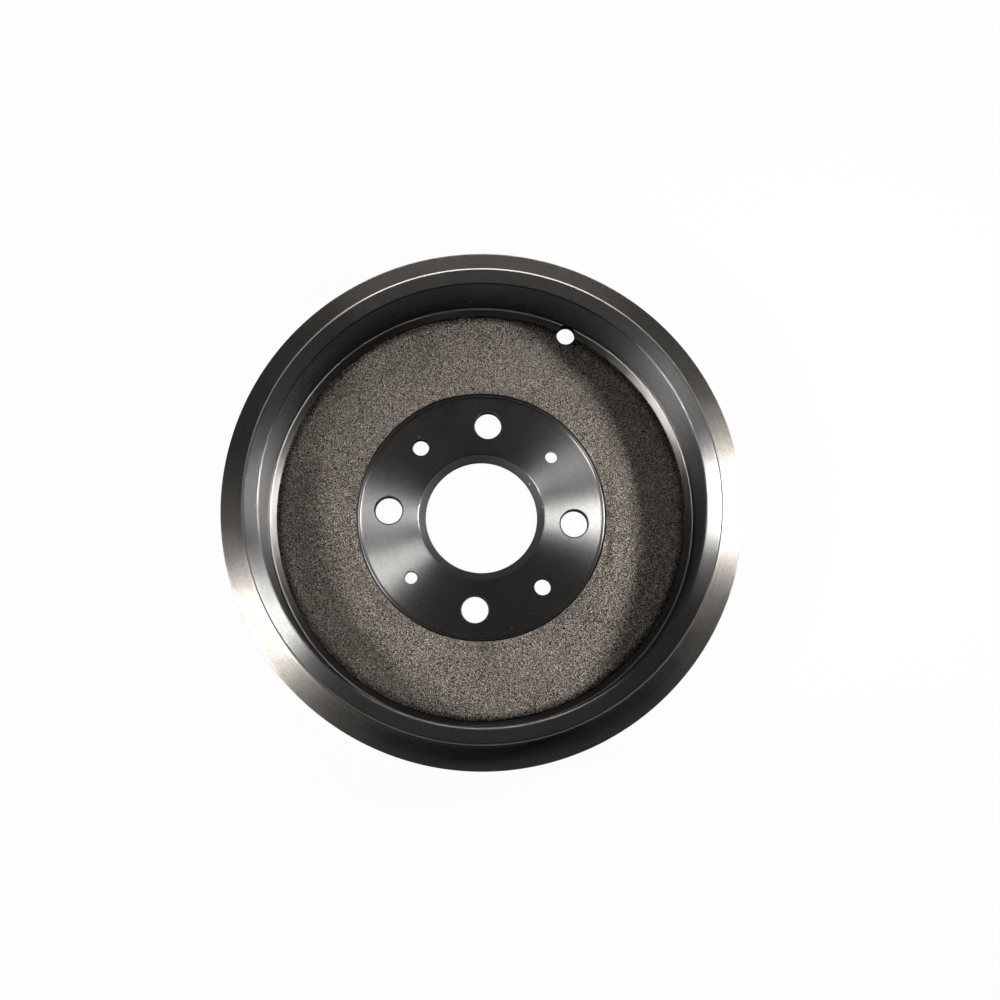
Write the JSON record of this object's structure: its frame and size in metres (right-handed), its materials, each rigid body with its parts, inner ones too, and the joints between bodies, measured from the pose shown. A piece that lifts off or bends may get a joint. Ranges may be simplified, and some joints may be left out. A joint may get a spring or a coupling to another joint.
{
  "type": "brake drum",
  "caption": "Turned cast-iron brake drum: deep open mouth, outer flange ring, cast web and a machined hub face with pilot bore and bolt holes.",
  "frame": {"origin": "on the drum's axis, in the plane of the wheel face it lies on", "axes": "+Z along the axis, out of the open mouth; +X through a wheel bolt hole"},
  "size_m": [0.272, 0.272, 0.063],
  "materials": {
    "cast_iron": "turned and as cast"
  },
  "bodies": {
    "root": {"brake_drum": "cast_iron"}
  },
  "joints": []
}
